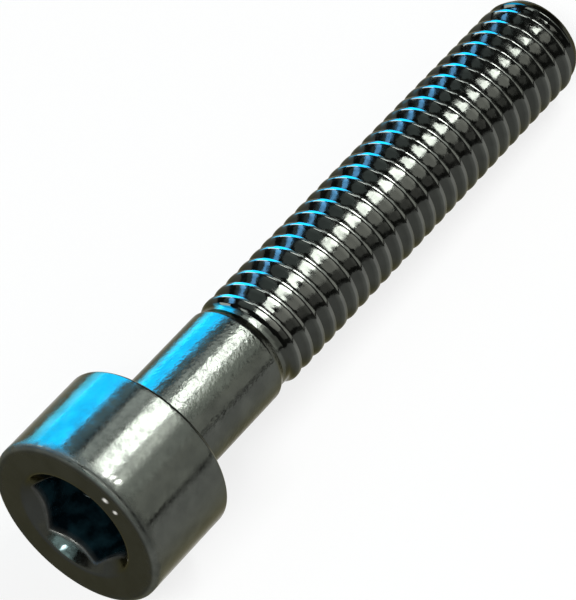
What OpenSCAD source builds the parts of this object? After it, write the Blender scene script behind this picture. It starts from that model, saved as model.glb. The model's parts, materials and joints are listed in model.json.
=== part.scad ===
// Hex socket cap screw, M6 x 35, partly threaded, lying on its side.
// All lengths are in millimetres, all angles in degrees.
//
// The screw is first made along its own axis: s is the distance from the bearing face
// under the head, so the head is at s < 0 and the thread ends at s = length.
// It is then laid on the floor z = 0, where it rests on the head's rear rim and on
// the last full crest of the thread, with its end pointing along +X.

/* [Head] */
// Diameter of the cylindrical head
head_d = 9.9; // [8.5:0.1:12]
// Height of the head, from its face to the bearing face
head_h = 5.9; // [5:0.05:8]
// Radius of the rounded edge round the head's face
head_edge_r = 0.3; // [0.2:0.1:1.2]
// Width of the small bevel on the rear rim
rim_bevel = 0.15; // [0.05:0.05:0.4]

/* [Hexagon socket] */
// Width of the hexagon across its flats
socket_af = 5; // [4:0.1:5.5]
// Depth of the hexagon's corners below the face
socket_depth = 3; // [2:0.1:3.5]
// Slope of the socket's conical floor, towards its centre
floor_slope = 30; // [10:1:40]
// How far the countersunk mouth reaches past the hexagon's corners
mouth_margin = 0.36; // [0.05:0.01:0.6]
// Slope of the countersunk mouth, down from the face
mouth_slope = 42; // [30:1:60]
// Turn of the hexagon about the screw's axis
socket_turn = 40; // [0:1:60]

/* [Shank] */
// Length under the head, to the end of the screw
length = 35; // [25:1:50]
// Diameter of the plain shank
shank_d = 5.8; // [5.7:0.01:6.2]
// Length of the plain shank
shank_len = 7.2; // [4:0.1:12]
// Radius of the fillet between the bearing face and the shank
fillet_r = 0.4; // [0.2:0.05:0.8]
// Diameter of the rolled neck between the shank and the thread
neck_d = 5.36; // [5.1:0.01:5.6]
// Length from the end of the plain shank to the first rise of the thread
neck_len = 0.9; // [0.7:0.1:3]
// Slope of the shoulder between the shank and the neck
shoulder_slope = 25; // [15:1:50]

/* [Thread] */
// Major diameter, over the crests
thread_d = 5.88; // [5.8:0.01:6.4]
// Pitch, from crest to crest
pitch = 1; // [0.75:0.05:1.25]
// Length over which the first turns grow to full height
run_in = 1.2; // [0.5:0.1:4]
// Diameter to which the last crests taper
point_d = 5.2; // [4.9:0.05:5.6]
// Slope of that taper, from the axis
point_slope = 10; // [6:1:20]
// Slope of the bevel at the end face, from the axis
end_slope = 50; // [30:1:60]
// Turn of the thread about the screw's axis
thread_turn = 0; // [0:5:360]
// Flat facets round each turn
turn_facets = 32; // [16:4:48]

/* [Hidden] */

$fn = 96;
steel = "dimgray";
overlap = 0.5; // how far cutting and joining shapes reach into or past what they meet

head_r = head_d / 2;
shank_r = shank_d / 2;
neck_r = neck_d / 2;
thread_r = thread_d / 2;
socket_corner_r = socket_af / 2 / cos(30);
mouth_r = socket_corner_r + mouth_margin;
thread_from = shank_len + neck_len;

// One ridge of the 60 degree thread with its rounded root, from the middle of its crest:
// each point is [distance along the axis, depth below the crest], in pitches.
RIDGE = [[-0.09, 0], [0.09, 0], [0.385, 0.511], [0.5, 0.57], [0.615, 0.511]];
end_r = thread_r - RIDGE[3][1] * pitch; // the end face has the diameter of the root

// ---- Head, shank and shoulder: one turned outline ----

// An arc's points: centre [r, s], radius, and from one angle to another
function arc(centre, radius, from, to, steps = 12) =
    [for (k = [0:steps]) let (a = from + (to - from) * k / steps)
        centre + radius * [cos(a), sin(a)]];

// Points of the outline are [r, s]. The shoulder's cone runs on into the thread's core.
shoulder_tip_r = neck_r - overlap;
outline = concat(
    [[0, -head_h]],
    arc([head_r - head_edge_r, head_edge_r - head_h], head_edge_r, -90, 0),
    [[head_r, -rim_bevel], [head_r - rim_bevel, 0]],
    arc([shank_r + fillet_r, fillet_r], fillet_r, 270, 180),
    [[shank_r, shank_len],
     [shoulder_tip_r, shank_len + (shank_r - shoulder_tip_r) / tan(shoulder_slope)],
     [0, shank_len + (shank_r - shoulder_tip_r) / tan(shoulder_slope)]]);

module turned_blank() {
    rotate_extrude() polygon(outline);
}

// ---- Socket: a hexagonal bar with a turned point, and the countersunk mouth ----

module hexagon_bar() {
    rotate([0, 0, socket_turn])
        translate([0, 0, -head_h - overlap])
            linear_extrude(head_h + overlap)
                circle(r = socket_corner_r, $fn = 6);
}

module turned_point() {
    wide_r = socket_corner_r + overlap;
    rise = tan(floor_slope);
    rotate_extrude() translate([0, -head_h])
        polygon([[0, -2 * overlap], [wide_r, -2 * overlap],
                 [wide_r, socket_depth - overlap * rise],
                 [0, socket_depth + socket_corner_r * rise]]);
}

module mouth() {
    rise = tan(mouth_slope);
    rotate_extrude() translate([0, -head_h])
        polygon([[0, -overlap], [mouth_r + overlap / rise, -overlap],
                 [0, mouth_r * rise]]);
}

module socket() {
    intersection() {
        hexagon_bar();
        turned_point();
    }
    mouth();
}

// ---- Thread: columns of points round the core, each one crossing every ridge ----

// The helix climbs one pitch a turn, so the last column meets the first one a ridge
// further on. Points that would lie past either end close onto the ring of that end.
ridge_points = len(RIDGE);
ridges = ceil((length - thread_from) / pitch) + 2;
column_points = ridges * ridge_points;
start_s = shank_len - overlap;
closest = pitch / 50; // a point nearer to an end than this becomes a point of its ring

function point_s(column, k) = thread_from + pitch *
    (column / turn_facets + floor(k / ridge_points) - 1 + RIDGE[k % ridge_points][0]);

// The rolled ridges rise out of the neck, and the end's taper and bevel cut them back
function grown(s) = min(1, max(0, (s - thread_from) / run_in));
function end_limit(s) = min(point_d / 2 + (length - s) * tan(point_slope),
                            end_r + (length - s) * tan(end_slope));
function point_r(s, depth) =
    min(end_limit(s), neck_r + grown(s) * (thread_r - depth * pitch - neck_r));

function around(column, r, s) =
    let (a = thread_turn + 360 * column / turn_facets) [r * cos(a), r * sin(a), s];

// Where the point is in the list below: start ring, end ring, then column by column
function vertex(column, k) =
    k < 0 || (k < column_points && point_s(column, k) < start_s + closest) ? column
    : k >= column_points || point_s(column, k) > length - closest ? turn_facets + column
    : 2 * turn_facets + column * column_points + k;

module thread() {
    last = turn_facets - 1;
    points = concat(
        [for (column = [0:last]) around(column, neck_r, start_s)],
        [for (column = [0:last]) around(column, end_r, length)],
        [for (column = [0:last], k = [0:column_points - 1])
            let (s = point_s(column, k))
                around(column, point_r(s, RIDGE[k % ridge_points][1]), s)]);
    skin = [for (column = [0:last], k = [-1 - ridge_points:column_points - 1])
        let (next = (column + 1) % turn_facets,
             ahead = k + (column == last ? ridge_points : 0),
             a = vertex(column, k), b = vertex(column, k + 1),
             c = vertex(next, ahead + 1), d = vertex(next, ahead))
            for (face = [[a, b, c], [a, c, d]])
                if (face[0] != face[1] && face[1] != face[2] && face[2] != face[0]) face];
    start_ring = [for (column = [0:last]) column];
    end_ring = [for (column = [last:-1:0]) turn_facets + column];
    polyhedron(points, concat(skin, [start_ring, end_ring]));
}

// ---- At rest ----

// The floor touches the rear rim and the place where the crests begin to taper
taper_s = length - (thread_r - point_d / 2) / tan(point_slope);
tilt = atan((head_r - thread_r) / (taper_s + rim_bevel));
axis_height = head_r * cos(tilt) - rim_bevel * sin(tilt);
back_x = (head_edge_r - head_h) * cos(tilt) - (head_r - head_edge_r) * sin(tilt) - head_edge_r;
front_x = length * cos(tilt) + end_r * sin(tilt);

module lay_down() {
    translate([-(back_x + front_x) / 2, 0, axis_height])
        rotate([0, 90 + tilt, 0])
            children();
}

module cap_screw() {
    color(steel) lay_down() {
        difference() {
            turned_blank();
            socket();
        }
        thread();
    }
}

cap_screw();
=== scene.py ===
"""A hex socket cap screw, M6 x 35, lying on a pale floor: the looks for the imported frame.

The screw is one fine mesh, built along its own axis in millimetres: s is the distance
from the bearing face under the head, so the head is at s < 0 and the end at s = LENGTH.
The record's bearing_face mount says where that face and the axis lie in the frame.
"""

import json
import math

import bpy
import numpy as np
from mathutils import Matrix, Vector


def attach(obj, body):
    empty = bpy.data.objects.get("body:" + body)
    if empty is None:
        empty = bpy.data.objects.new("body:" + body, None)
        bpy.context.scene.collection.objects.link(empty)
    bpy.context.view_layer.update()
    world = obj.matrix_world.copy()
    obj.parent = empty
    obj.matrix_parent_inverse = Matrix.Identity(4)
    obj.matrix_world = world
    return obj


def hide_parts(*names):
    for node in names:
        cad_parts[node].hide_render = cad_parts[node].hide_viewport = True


MM = 0.001

# ---- Sizes in millimetres and degrees, as in the part's source ----

HEAD_R = 9.9 / 2
HEAD_H = 5.9
HEAD_EDGE_R = 0.3
RIM_BEVEL = 0.15

SOCKET_FLAT_R = 5.0 / 2
SOCKET_CORNER_R = SOCKET_FLAT_R / math.cos(math.radians(30))
SOCKET_DEPTH = 3.0
SOCKET_TURN = 40
FLOOR_SLOPE = 30
MOUTH_R = SOCKET_CORNER_R + 0.36
MOUTH_SLOPE = 42

LENGTH = 35.0
SHANK_R = 5.8 / 2
SHANK_LEN = 7.2
FILLET_R = 0.4
NECK_R = 5.36 / 2
NECK_LEN = 0.9
SHOULDER_SLOPE = 25

THREAD_R = 5.88 / 2
PITCH = 1.0
THREAD_TURN = 0
POINT_R = 5.2 / 2
END_SLOPE = 50

THREAD_FROM = SHANK_LEN + NECK_LEN

# ---- The thread's finer shape, which the source leaves to this script ----

# A ridge starts to grow where its crest is GROWS_FROM turns on, and is full RUN_IN turns
# later. START_S is the first ring that the thread's columns can reach.
GROWS_FROM = -0.1
RUN_IN = 0.4
START_S = THREAD_FROM - 0.38
# The slope of the short taper that cuts the last crests
POINT_SLOPE = 20

# The ridge's profile, in pitches: half its flat crest, the radius of its root, and the
# slope of each flank with the radius of the crest's edge there. The back flank faces the
# screw's end and the front flank faces its head.
CREST_HALF = 0.06
ROOT_R = 0.03
BACK = (55, 0.03)
FRONT = (38, 0.15)


def flank(slope_degrees, edge_r, depth):
    """Points down one flank from the crest's middle: edge arc, slope and root arc."""
    slope = math.radians(slope_degrees)
    turns = [slope * k / 3 for k in range(4)]
    edge = [(CREST_HALF + edge_r * math.sin(t), edge_r * (1 - math.cos(t))) for t in turns]
    x, y = edge[-1]
    low = depth - ROOT_R * (1 - math.cos(slope))
    low_x = x + (low - y) / math.tan(slope)
    straight = [(x + (low_x - x) * k / 3, y + (low - y) * k / 3) for k in (1, 2, 3)]
    root_x = low_x + ROOT_R * math.sin(slope)
    root = [(root_x - ROOT_R * math.sin(t), depth - ROOT_R * (1 - math.cos(t)))
            for t in (slope / 2, 0)]
    return [(0.0, 0.0)] + edge + straight + root


def ridge_profile():
    """Points (distance along the axis, depth below the crest) from one crest to the next."""
    low, high = 0.1, 0.9
    for _ in range(40):
        depth = (low + high) / 2
        back, front = flank(*BACK, depth), flank(*FRONT, depth)
        if back[-1][0] + front[-1][0] < 1:
            low = depth
        else:
            high = depth
    return back + [(1 - x, y) for x, y in reversed(front[1:-1])]


RIDGE = ridge_profile()
ROOT_DEPTH = max(y for x, y in RIDGE)
END_R = THREAD_R - ROOT_DEPTH * PITCH

# Columns of points round the skin
HEAD_COLUMNS = 288
THREAD_COLUMNS = 108

# Where the skin's smallest rings are, in from the socket's axis and from the end's edge
FLOOR_RING_R = 0.25
END_RING_IN = 0.15
# A point nearer than this to the thread's start or end becomes a point of its ring
CLOSEST = 0.012
# How softly the thread's taper and the hexagon's corners are blended in
TAPER_SOFT = 0.015
CORNER_SOFT = 0.025
CORNER_ROUND = 0.05


def tangent(degrees):
    return math.tan(math.radians(degrees))


def smooth_step(x):
    x = np.clip(x, 0, 1)
    return x * x * (3 - 2 * x)


def soft_min(a, b, soft):
    """The smaller of a and b, with the edge between them rounded."""
    return -soft * np.logaddexp(-a / soft, -b / soft)


# ---- The mesh ----

class Skin:
    """Rings of points round the axis, and the faces that join them."""

    def __init__(self):
        self.points = []
        self.faces = []

    def ring(self, angles, r, s):
        """Adds a ring and returns its indices; r and s are a number or one per angle."""
        r = np.broadcast_to(r, angles.shape)
        s = np.broadcast_to(s, angles.shape)
        first = len(self.points)
        self.points += zip(r * np.cos(angles), r * np.sin(angles), s)
        return list(range(first, len(self.points)))

    def join(self, a, b):
        """Quads from ring a to ring b, which lies further along the skin."""
        n = len(a)
        self.faces += [(a[k], a[(k + 1) % n], b[(k + 1) % n], b[k]) for k in range(n)]

    def zip_rings(self, a, a_angles, b, b_angles):
        """Triangles from ring a to ring b, where their counts differ."""
        i = j = 0
        while i < len(a) or j < len(b):
            a_next = a_angles[i + 1] if i + 1 < len(a) else a_angles[0] + math.tau
            b_next = b_angles[j + 1] if j + 1 < len(b) else b_angles[0] + math.tau
            if j == len(b) or (i < len(a) and a_next <= b_next):
                self.faces.append((a[i], a[(i + 1) % len(a)], b[j % len(b)]))
                i += 1
            else:
                self.faces.append((a[i % len(a)], b[(j + 1) % len(b)], b[j]))
                j += 1

    def fan(self, ring, s, at_start):
        """Closes a ring with a point on the axis."""
        centre = len(self.points)
        self.points.append((0, 0, s))
        for k, a in enumerate(ring):
            b = ring[(k + 1) % len(ring)]
            self.faces.append((centre, b, a) if at_start else (a, b, centre))


def rounded_outline(corners, columns):
    """Rows (r, s) along an outline whose corners are rounded.

    A corner is (r, s, reach, arc_steps, leg_steps): reach is how far its arc extends
    along both legs, and leg_steps cuts up the straight leg that leads to it.
    """
    at = [np.stack([np.broadcast_to(r, columns), np.broadcast_to(s, columns)], axis=-1)
          for r, s, *rest in corners]
    rows = [at[0]]
    for k in range(1, len(corners)):
        reach, arc_steps, leg_steps = corners[k][2:]
        back = at[k - 1] - at[k]
        back /= np.linalg.norm(back, axis=1, keepdims=True)
        start = at[k] + back * reach
        rows += [rows[-1] + (start - rows[-1]) * (i / leg_steps)
                 for i in range(1, leg_steps + 1)]
        if not arc_steps:
            continue
        ahead = at[k + 1] - at[k]
        ahead /= np.linalg.norm(ahead, axis=1, keepdims=True)
        half = np.arccos(np.clip((back * ahead).sum(1), -1, 1)) / 2
        middle = back + ahead
        middle /= np.linalg.norm(middle, axis=1, keepdims=True)
        centre = at[k] + middle * (reach / np.cos(half))[:, None]
        first, last = start - centre, at[k] + ahead * reach - centre
        sweep = (math.pi - 2 * half)[:, None]
        rows += [centre + (np.sin(sweep * (1 - i / arc_steps)) * first
                           + np.sin(sweep * i / arc_steps) * last) / np.sin(sweep)
                 for i in range(1, arc_steps + 1)]
    return rows


def head_angles():
    """Angles of the head's columns: one on each corner of the hexagon, closer beside it."""
    u = np.arange(HEAD_COLUMNS) / (HEAD_COLUMNS / 6)
    return np.radians(SOCKET_TURN + 60 * (u - 0.6 * np.sin(math.tau * u) / math.tau))


def hexagon_r(angles):
    """How far the hexagon's wall is from the axis, with its corners slightly rounded."""
    off_middle = np.radians((np.degrees(angles) - SOCKET_TURN) % 60 - 30)
    wall = SOCKET_FLAT_R / np.cos(off_middle)
    return soft_min(wall, SOCKET_CORNER_R - CORNER_ROUND, CORNER_SOFT)


def add_head(skin):
    """Socket, face, edge, side, bearing face and the start of the shank."""
    angles = head_angles()
    wall = hexagon_r(angles)
    face = -HEAD_H
    floor = face + SOCKET_DEPTH
    rise = tangent(FLOOR_SLOPE)
    corners = [
        (FLOOR_RING_R, floor + (SOCKET_CORNER_R - FLOOR_RING_R) * rise),
        (wall, floor + (SOCKET_CORNER_R - wall) * rise, 0.12, 4, 7),
        (wall, face + (MOUTH_R - wall) * tangent(MOUTH_SLOPE), 0.10, 5, 9),
        (MOUTH_R, face, 0.12, 5, 5),
        (HEAD_R, face, HEAD_EDGE_R, 12, 14),
        (HEAD_R, -RIM_BEVEL, 0.06, 3, 24),
        (HEAD_R - RIM_BEVEL, 0, 0.06, 3, 2),
        (SHANK_R, 0, FILLET_R, 7, 4),
        (SHANK_R, 1.0, 0, 0, 2),
    ]
    rows = rounded_outline(corners, HEAD_COLUMNS)
    rings = [skin.ring(angles, row[:, 0], row[:, 1]) for row in rows]
    skin.fan(rings[0], floor + SOCKET_CORNER_R * rise, at_start=True)
    for a, b in zip(rings, rings[1:]):
        skin.join(a, b)
    return rings[-1], angles


def end_limit(s):
    """The largest radius that the taper and bevel at the screw's end leave."""
    return np.minimum(POINT_R + (LENGTH - s) * tangent(POINT_SLOPE),
                      END_R + (LENGTH - s) * tangent(END_SLOPE))


def ridge_r(depth, turn):
    """Radius of a ridge whose crest is this many turns on, at this depth below it."""
    grown = smooth_step((turn - GROWS_FROM) / RUN_IN)
    return NECK_R + grown * (THREAD_R - depth * PITCH - NECK_R)


def thread_r(s, depth, turn, turn_behind):
    """Radius of the thread: of its ridge, or of the root behind a ridge that still grows."""
    r = max(ridge_r(depth, turn), ridge_r(ROOT_DEPTH, turn_behind))
    return soft_min(r, end_limit(s), TAPER_SOFT)


def from_zero(ring, angles):
    """The ring and its angles, turned to start at the smallest angle from 0 up."""
    turned = angles % math.tau
    order = np.argsort(turned)
    return [ring[k] for k in order], turned[order]


def add_shank(skin, head_ring, head_ring_angles):
    """The rest of the shank, its shoulder and the neck, up to the first turn."""
    angles = np.radians(THREAD_TURN) + math.tau * np.arange(THREAD_COLUMNS) / THREAD_COLUMNS
    shoulder = (SHANK_R - NECK_R) / tangent(SHOULDER_SLOPE)
    corners = [
        (SHANK_R, 1.1),
        (SHANK_R, SHANK_LEN, 0.07, 4, 8),
        (NECK_R, SHANK_LEN + shoulder, 0.04, 4, 3),
        (NECK_R, START_S, 0, 0, 1),
    ]
    rows = rounded_outline(corners, THREAD_COLUMNS)
    rings = [skin.ring(angles, row[:, 0], row[:, 1]) for row in rows]
    skin.zip_rings(*from_zero(head_ring, head_ring_angles), *from_zero(rings[0], angles))
    for a, b in zip(rings, rings[1:]):
        skin.join(a, b)
    return rings[-1], angles


def add_thread(skin, start_ring, angles):
    """Columns of points that cross every ridge, and the end face.

    The helix climbs a pitch in a turn, so the last column joins the first a ridge on.
    Points before the start or past the end close onto the ring there.
    """
    per_ridge = len(RIDGE)
    root = [y for x, y in RIDGE].index(ROOT_DEPTH)
    ridges = math.ceil((LENGTH - START_S) / PITCH) + 2
    first_ridge = math.floor((START_S - THREAD_FROM) / PITCH) - 1
    end_ring = skin.ring(angles, END_R, LENGTH)

    columns = []
    for c, angle in enumerate(angles):
        column = []
        for k in range(ridges * per_ridge):
            along, depth = RIDGE[k % per_ridge]
            turn = c / len(angles) + first_ridge + k // per_ridge
            s = THREAD_FROM + PITCH * (turn + along)
            if s < START_S + CLOSEST:
                column.append(start_ring[c])
            elif s > LENGTH - CLOSEST:
                column.append(end_ring[c])
            else:
                r = float(thread_r(s, depth, turn + (k % per_ridge > root), turn))
                column.append(len(skin.points))
                skin.points.append((r * math.cos(angle), r * math.sin(angle), s))
        columns.append([start_ring[c]] * per_ridge + column + [end_ring[c]] * per_ridge)

    for c, a in enumerate(columns):
        last = c == len(columns) - 1
        b = columns[0][per_ridge:] if last else columns[c + 1]
        for k in range(min(len(a), len(b)) - 1):
            corners = [a[k], b[k], b[k + 1], a[k + 1]]
            face = [v for i, v in enumerate(corners) if v != corners[i - 1]]
            if len(face) > 2:
                skin.faces.append(tuple(face))
    inner = skin.ring(angles, END_R - END_RING_IN, LENGTH)
    skin.join(end_ring, inner)
    skin.fan(inner, LENGTH, at_start=False)


def lay_matrix(mount):
    """From the screw's own axis, in millimetres, to where the frame has it, in metres."""
    z = Vector(mount["axis"]).normalized()
    y = Vector((0, 1, 0))
    x = y.cross(z)
    turn = Matrix((x, y, z)).transposed().to_4x4()
    return Matrix.Translation(Vector(mount["pos_m"])) @ turn @ Matrix.Scale(MM, 4)


def make_screw(mount):
    skin = Skin()
    head_ring, ring_angles = add_head(skin)
    add_thread(skin, *add_shank(skin, head_ring, ring_angles))
    mesh = bpy.data.meshes.new("screw")
    points = np.array(skin.points, float)
    mesh.from_pydata(points.tolist(), [], skin.faces)
    for marks in (face_groove_shade_at, socket_at, wear_and_highlight_at, coarse_at, dull_at):
        name = marks.__name__.removesuffix("_at")
        mesh.attributes.new(name, "FLOAT", "POINT").data.foreach_set("value", marks(points))
    mesh.transform(lay_matrix(mount))
    mesh.validate()
    mesh.update()
    mesh.shade_smooth()
    screw = bpy.data.objects.new("screw", mesh)
    bpy.context.scene.collection.objects.link(screw)
    return screw


# ---- Surface marks, painted shade and painted highlight, by place on the screw ----

# Small bright nicks: angle, distance from the axis, s and size
NICKS = [
    # on the head's face
    (-152.4, 4.09, -5.9, 0.15),
    (-141.6, 4.01, -5.9, 0.12),
    # in the socket's mouth
    (-87.8, 3.14, -5.8, 0.12),
    (17.5, 2.97, -5.66, 0.10),
    # on the head's side
    (-154.5, 4.95, -5.15, 0.08),
    (-163, 4.95, -5.45, 0.10),
    (-158, 4.95, -5.25, 0.11),
    (-161, 4.95, -3.46, 0.09),
    # on the shank
    (-181.4, 2.9, 3.15, 0.12),
]


def by_socket(points):
    """Each point's distance from the axis, and its hexagon wall's distance and rim's s."""
    r = np.hypot(points[:, 0], points[:, 1])
    wall = hexagon_r(np.arctan2(points[:, 1], points[:, 0]))
    return r, wall, -HEAD_H + (MOUTH_R - wall) * tangent(MOUTH_SLOPE)


def face_groove_shade_at(points):
    """How much painted shade darkens the skin: most on the head's face, less in the thread's
    grooves, in place of the darker reflections there.
    """
    r = np.hypot(points[:, 0], points[:, 1])
    s = points[:, 2]
    face = smooth_step((HEAD_R - 0.12 - r) / 0.2) * smooth_step((-HEAD_H + 0.9 - s) / 0.1)
    groove = smooth_step((THREAD_R - 0.01 - r) / 0.05) * (s > THREAD_FROM - 0.2)
    return np.maximum(0.8 * face, 0.66 * groove)


def socket_at(points):
    """1 inside the hexagon, below its worn rim, where the skin is painted dark: painted shade
    in the recess.
    """
    r, wall, rim = by_socket(points)
    return (r < wall + 0.05) * (points[:, 2] < -1) * smooth_step((points[:, 2] - rim) / 0.12)


def wear_and_highlight_at(points):
    """Where the oxide is knocked off, or rubbed thin on the socket's rim; on the crests a
    lighter colour is a painted highlight.
    """
    r, wall, rim = by_socket(points)
    wear_and_highlight = 0.05 * smooth_step(1.5 - np.hypot(r - wall, points[:, 2] - rim) / 0.1)
    # The crests get a lighter colour: a painted highlight along the crest lines.
    crest = smooth_step((r - THREAD_R + 0.035) / 0.03) * (points[:, 2] > THREAD_FROM - 0.2)
    wear_and_highlight = np.maximum(wear_and_highlight, 0.06 * crest)
    for angle, nick_r, nick_s, size in NICKS:
        a = math.radians(angle)
        nick = (nick_r * math.cos(a), nick_r * math.sin(a), nick_s)
        away = np.linalg.norm(points - nick, axis=1)
        wear_and_highlight = np.maximum(wear_and_highlight, smooth_step(1.6 - 1.2 * away / size))
    return wear_and_highlight


def coarse_at(points):
    """How rough the skin is: the drawn shank is rougher than the head and the thread."""
    s = points[:, 2]
    return 0.22 + 0.78 * smooth_step((s + 0.8) / 1.5) * smooth_step((THREAD_FROM - s) / 0.8)


def dull_at(points):
    """1 on the rubbed edge of the head's face and on the socket's rim; the thread is glossy."""
    r, wall, rim = by_socket(points)
    away = np.hypot(r - HEAD_R + 0.1, points[:, 2] + HEAD_H - 0.1)
    rim_away = np.hypot(r - wall, points[:, 2] - rim)
    dull = np.maximum(smooth_step(1.5 - away / 0.4), smooth_step(1.5 - rim_away / 0.15))
    return dull - 0.22 * smooth_step((points[:, 2] - THREAD_FROM + 0.4) / 0.3)


# ---- Materials ----

def new_material(name):
    material = bpy.data.materials.new(name)
    material.use_nodes = True
    material.node_tree.nodes.clear()
    return material, material.node_tree.nodes, material.node_tree.links


def oxide_steel():
    """Blackened steel with an oily sheen, mottled, with bare nicks, painted shade on the face,
    in the grooves and in the socket, and a painted highlight on the crests.
    """
    material, nodes, links = new_material("oxide_steel")
    out = nodes.new("ShaderNodeOutputMaterial")
    steel = nodes.new("ShaderNodeBsdfPrincipled")
    links.new(steel.outputs["BSDF"], out.inputs["Surface"])
    steel.inputs["Specular Tint"].default_value = (0.54, 0.52, 0.44, 1)

    place = nodes.new("ShaderNodeTexCoord")

    def grain(size_mm, detail=3.0, rough=0.5):
        n = nodes.new("ShaderNodeTexNoise")
        n.inputs["Scale"].default_value = 1 / (size_mm * MM)
        n.inputs["Detail"].default_value = detail
        n.inputs["Roughness"].default_value = rough
        links.new(place.outputs["Object"], n.inputs["Vector"])
        return n.outputs["Fac"]

    def ramp(value, stops):
        n = nodes.new("ShaderNodeValToRGB")
        elements = n.color_ramp.elements
        while len(elements) < len(stops):
            elements.new(0.5)
        for element, (position, colour) in zip(elements, stops):
            element.position = position
            element.color = (*colour, 1)
        links.new(value, n.inputs["Fac"])
        return n.outputs["Color"]

    def blend(share, a, b):
        """From colour a to colour b; each is an output or three values."""
        n = nodes.new("ShaderNodeMix")
        n.data_type = "RGBA"
        links.new(share, n.inputs["Factor"])
        colours = [i for i in n.inputs if i.type == "RGBA"]
        for socket, value in zip(colours, (a, b)):
            if isinstance(value, tuple):
                socket.default_value = (*value, 1)
            else:
                links.new(value, socket)
        return next(o for o in n.outputs if o.type == "RGBA")

    def attribute(name):
        n = nodes.new("ShaderNodeAttribute")
        n.attribute_name = name
        return n.outputs["Fac"]

    def remap(value, low, high, to_low, to_high):
        n = nodes.new("ShaderNodeMapRange")
        n.inputs["From Min"].default_value = low
        n.inputs["From Max"].default_value = high
        n.inputs["To Min"].default_value = to_low
        n.inputs["To Max"].default_value = to_high
        links.new(value, n.inputs["Value"])
        return n.outputs["Result"]

    worn = ramp(grain(1.1), [(0.35, (0.065, 0.069, 0.062)), (0.65, (0.085, 0.090, 0.080))])
    # The face and the grooves are blended towards near black: painted shade.
    face_groove_shade = blend(attribute("face_groove_shade"), worn, (0.020, 0.021, 0.019))
    # The socket's inside is near black blue, with less metal and a lower specular level:
    # painted shade in the recess.
    socket_shade = ramp(grain(0.9), [(0.40, (0.001, 0.004, 0.006)), (0.70, (0.008, 0.025, 0.033))])
    skin = blend(attribute("socket"), face_groove_shade, socket_shade)
    # Nicks and the socket's rim are bare metal; the lighter crests are a painted highlight.
    links.new(blend(attribute("wear_and_highlight"), skin, (0.80, 0.79, 0.76)), steel.inputs["Base Color"])
    links.new(remap(attribute("socket"), 0, 1, 1.0, 0.3), steel.inputs["Metallic"])
    links.new(remap(attribute("socket"), 0, 1, 0.5, 0.2), steel.inputs["Specular IOR Level"])

    dull = nodes.new("ShaderNodeMath")
    dull.operation = "MULTIPLY_ADD"
    links.new(attribute("dull"), dull.inputs[0])
    links.new(remap(grain(0.5), 0.35, 0.65, 0.12, 0.40), dull.inputs[1])
    links.new(remap(grain(0.35), 0.3, 0.7, 0.10, 0.24), dull.inputs[2])
    links.new(dull.outputs[0], steel.inputs["Roughness"])

    normal = None
    for size, height, detail in ((0.6, 0.009, 2.0), (0.2, 0.017, 2.5)):
        bump = nodes.new("ShaderNodeBump")
        bump.inputs["Distance"].default_value = height * MM
        links.new(attribute("coarse"), bump.inputs["Strength"])
        links.new(grain(size, detail=detail), bump.inputs["Height"])
        if normal:
            links.new(normal, bump.inputs["Normal"])
        normal = bump.outputs["Normal"]
    links.new(normal, steel.inputs["Normal"])
    return material


# The share of the floor that is plain white to the camera and in reflections
FLOOR_GLOW = 0.8


def floor_paint():
    """White floor that keeps the shadow, and looks white to the camera and in reflections."""
    material, nodes, links = new_material("floor")
    out = nodes.new("ShaderNodeOutputMaterial")
    mix = nodes.new("ShaderNodeMixShader")
    paint = nodes.new("ShaderNodeBsdfDiffuse")
    paint.inputs["Color"].default_value = (0.9, 0.9, 0.9, 1)
    glow = nodes.new("ShaderNodeEmission")
    rays = nodes.new("ShaderNodeLightPath")

    def combine(operation, a, b):
        n = nodes.new("ShaderNodeMath")
        n.operation = operation
        links.new(a, n.inputs[0])
        if isinstance(b, float):
            n.inputs[1].default_value = b
        else:
            links.new(b, n.inputs[1])
        return n.outputs[0]

    seen = combine("MAXIMUM", rays.outputs["Is Camera Ray"], rays.outputs["Is Glossy Ray"])
    seen = combine("MAXIMUM", seen, rays.outputs["Is Transmission Ray"])
    links.new(combine("MULTIPLY", seen, FLOOR_GLOW), mix.inputs["Fac"])
    links.new(paint.outputs["BSDF"], mix.inputs[1])
    links.new(glow.outputs["Emission"], mix.inputs[2])
    links.new(mix.outputs["Shader"], out.inputs["Surface"])
    return material


# ---- Floor, lamps and camera ----

def direction(azimuth, elevation):
    a, e = math.radians(azimuth), math.radians(elevation)
    return Vector((math.cos(e) * math.cos(a), math.cos(e) * math.sin(a), math.sin(e)))


def aim(obj, target, away, distance):
    """Places obj at that distance from target and turns it to face the target."""
    obj.location = target + away * distance
    obj.rotation_euler = away.to_track_quat("Z", "Y").to_euler()


def make_floor(radius=0.6):
    mesh = bpy.data.meshes.new("floor")
    corners = [(radius * math.cos(a), radius * math.sin(a), 0)
               for a in np.arange(64) * math.tau / 64]
    mesh.from_pydata(corners, [], [tuple(range(64))])
    floor = bpy.data.objects.new("floor", mesh)
    floor.data.materials.append(floor_paint())
    bpy.context.scene.collection.objects.link(floor)


LAMP_DISTANCE = 0.4

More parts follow.
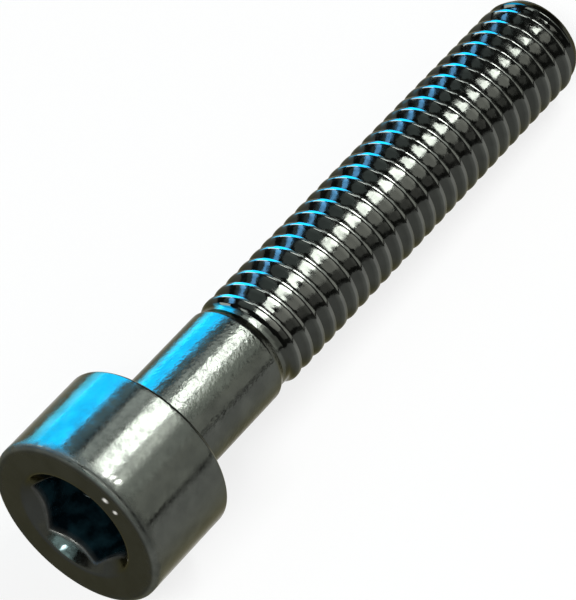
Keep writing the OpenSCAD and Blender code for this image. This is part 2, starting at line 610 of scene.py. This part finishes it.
# name, azimuth, elevation, angle that it fills across and up, radiance, colour;
# the ones called glint are seen in metal only and give no diffuse light
LAMPS = [
    ("key", -6, 57.5, 21, 10, 20.5, (0.97, 1.0, 0.99)),
    ("key_edge", -36, 53, 14, 10, 4.0, (0.97, 1.0, 0.97)),
    ("key_back", 31, 53, 14, 11, 2.9, (0.92, 1.0, 1.0)),
    ("fill_high", -46, 44, 20, 22, 1.5, (0.95, 1.0, 0.95)),
    ("fill_low", -60, 19, 24, 28, 1.05, (0.98, 1.0, 0.94)),
    ("back_fill", 51, 37, 18, 16, 1.0, (0.6, 1.0, 1.2)),
    ("left_high", 146, 46, 30, 18, 0.75, (0.85, 1.0, 1.02)),
    ("left_low", 118, 24, 22, 20, 0.55, (0.7, 1.0, 1.1)),
    ("front", -169, 52.5, 23, 10, 25.5, (0.98, 1.0, 0.99)),
    ("front_fill", -139, 37, 18, 23, 2.4, (1.0, 0.99, 0.95)),
    ("front_side", -127, 17, 14, 16, 0.6, (1.0, 0.99, 0.95)),
    ("glint_mouth", -179, 21.5, 30, 9, 5.0, (0.7, 1.0, 1.07)),
    ("glint_front", 168, 8, 96, 17, 1.1, (1.0, 0.98, 0.88)),
    ("glint_side", 60, 15.5, 34, 31, 16.5, (0.006, 0.47, 1.0)),
    ("glint_far", 114, 28, 13, 9, 12.0, (0.14, 0.47, 1.0)),
    ("glint_rim", 88, 19, 18, 24, 8.0, (0.9, 0.97, 1.0)),
    ("glint_top", 78, 64, 22, 16, 7.0, (0.95, 1.0, 1.0)),
]


def make_lamp(name, centre, away, distance, across, up, radiance, colour):
    """An area lamp that faces centre, with sizes in metres; a glint is seen in metal only."""
    lamp = bpy.data.lights.new(name, "AREA")
    lamp.shape = "RECTANGLE"
    lamp.size = across
    lamp.size_y = up
    lamp.energy = radiance * math.pi * across * up
    lamp.color = colour
    obj = bpy.data.objects.new(name, lamp)
    obj.visible_diffuse = not name.startswith("glint")
    bpy.context.scene.collection.objects.link(obj)
    aim(obj, centre, away, distance)
    return obj


def make_lamps(target):
    for name, azimuth, elevation, across, up, radiance, colour in LAMPS:
        make_lamp(name, target, direction(azimuth, elevation), LAMP_DISTANCE,
                  2 * LAMP_DISTANCE * tangent(across / 2), 2 * LAMP_DISTANCE * tangent(up / 2),
                  radiance, colour)
    # a low strip close by, so that the blue goes on below the horizon
    low = make_lamp("glint_low", Vector((-0.014, 0, 0.005)), direction(62, 0), 0.034,
                    0.022, 0.010, 2.2, (0.02, 0.5, 1.0))
    low.data.spread = math.radians(70)
    low.visible_camera = False


def make_world():
    """An even dark grey room, a little warmer towards the horizon."""
    world = bpy.data.worlds.new("room")
    bpy.context.scene.world = world
    world.use_nodes = True
    nodes, links = world.node_tree.nodes, world.node_tree.links
    nodes.clear()
    out = nodes.new("ShaderNodeOutputWorld")
    sky = nodes.new("ShaderNodeBackground")
    place = nodes.new("ShaderNodeTexCoord")
    split = nodes.new("ShaderNodeSeparateXYZ")
    ramp = nodes.new("ShaderNodeValToRGB")
    links.new(place.outputs["Generated"], split.inputs["Vector"])
    links.new(split.outputs["Z"], ramp.inputs["Fac"])
    ramp.color_ramp.elements[0].position = 0.0
    ramp.color_ramp.elements[0].color = (0.08, 0.08, 0.075, 1)
    ramp.color_ramp.elements[1].position = 0.8
    ramp.color_ramp.elements[1].color = (0.08, 0.083, 0.083, 1)
    links.new(ramp.outputs["Color"], sky.inputs["Color"])
    links.new(sky.outputs["Background"], out.inputs["Surface"])


# Lens in mm, where the camera stands as seen from its target, and how far off in mm;
# the target is on the screw's axis, this far from the bearing face, and moved a little
LENS = 214.45
CAMERA_AT = direction(-144.22, 53.41)
CAMERA_DISTANCE = 182.13
TARGET_S = 11.82
TARGET_SHIFT = Vector((0.0235, 0.0325, 0.0))


def make_camera(mount):
    camera = bpy.data.cameras.new("camera")
    camera.lens = LENS
    camera.clip_start = 0.01
    obj = bpy.data.objects.new("camera", camera)
    bpy.context.scene.collection.objects.link(obj)
    bpy.context.scene.camera = obj
    target = Vector(mount["pos_m"]) + Vector(mount["axis"]) * TARGET_S * MM
    aim(obj, target + TARGET_SHIFT * MM, CAMERA_AT, CAMERA_DISTANCE * MM)


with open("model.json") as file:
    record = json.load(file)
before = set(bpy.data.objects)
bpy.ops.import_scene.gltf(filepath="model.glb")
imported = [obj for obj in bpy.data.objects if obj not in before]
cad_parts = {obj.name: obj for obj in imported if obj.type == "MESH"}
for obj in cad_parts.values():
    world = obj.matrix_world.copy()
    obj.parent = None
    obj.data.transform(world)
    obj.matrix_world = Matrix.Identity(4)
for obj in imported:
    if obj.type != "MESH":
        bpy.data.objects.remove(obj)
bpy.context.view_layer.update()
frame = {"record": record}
bearing_face = next(m for m in frame["record"]["mounts"] if m["name"] == "bearing_face")

screw = make_screw(bearing_face)
screw.data.materials.append(oxide_steel())
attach(screw, "root")
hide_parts("cap_screw")

make_floor()
make_lamps(Vector((0, 0, HEAD_R * MM)))
make_world()
make_camera(bearing_face)
bpy.context.scene.view_settings.view_transform = "Standard"
